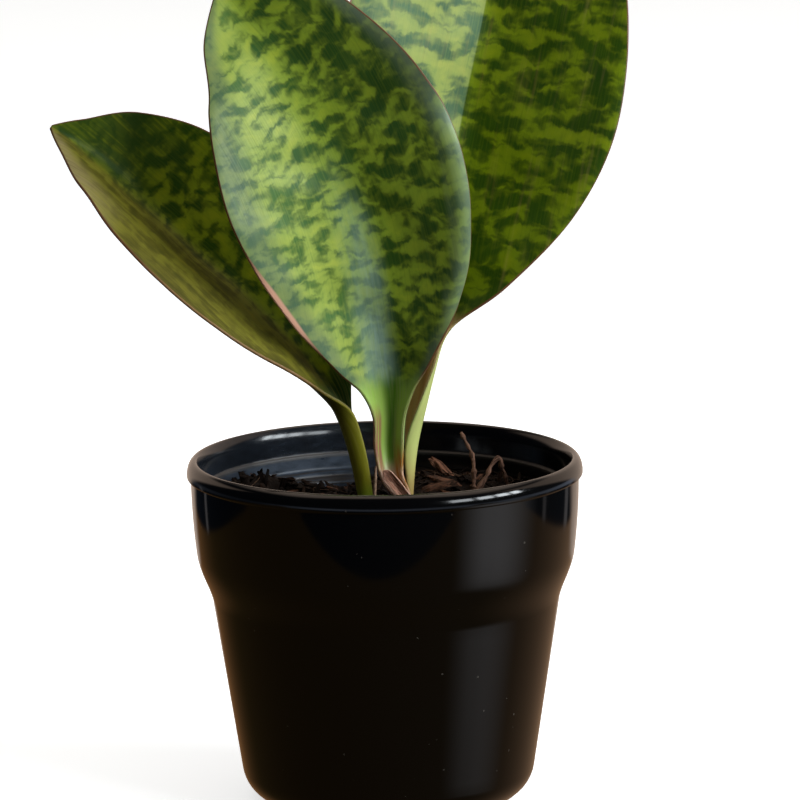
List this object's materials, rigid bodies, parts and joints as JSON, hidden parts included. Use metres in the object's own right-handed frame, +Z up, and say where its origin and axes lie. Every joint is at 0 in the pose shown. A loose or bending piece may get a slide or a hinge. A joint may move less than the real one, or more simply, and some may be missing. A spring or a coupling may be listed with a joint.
{
  "type": "potted snake plant",
  "caption": "Broad-leaved snake plant with mottled leaves that grow from potting mix in a round tapered nursery pot with a rolled rim.",
  "frame": {"origin": "centre of the pot's underside, on the surface that it stands on", "axes": "+Z up along the pot's axis, -Y towards the front of the plant, +X to the right as seen from the front"},
  "size_m": [0.1885, 0.13, 0.3222],
  "materials": {
    "pot_plastic": "glossy black moulded plastic, dusty inside",
    "potting_mix": "dark damp bark chips and fibre",
    "rhizome": "pale fleshy stem with dry brown scars",
    "leaf_light": "waxy satin, yellow-green blotches on dark green",
    "leaf_olive": "waxy satin, olive blotches on dark green",
    "leaf_dark": "waxy satin, yellow-green blotches on dark green",
    "dry_sheath": "dry, papery, pinkish brown with darker veins",
    "dry_twig": "matt dry bark"
  },
  "bodies": {
    "root": {"pot": "pot_plastic", "soil": "potting_mix", "rhizome": "rhizome", "leaf_front": "leaf_light", "leaf_left": "leaf_olive", "leaf_back": "leaf_dark", "sheath": "dry_sheath", "twig_tall": "dry_twig", "twig_bent": "dry_twig"}
  },
  "joints": []
}
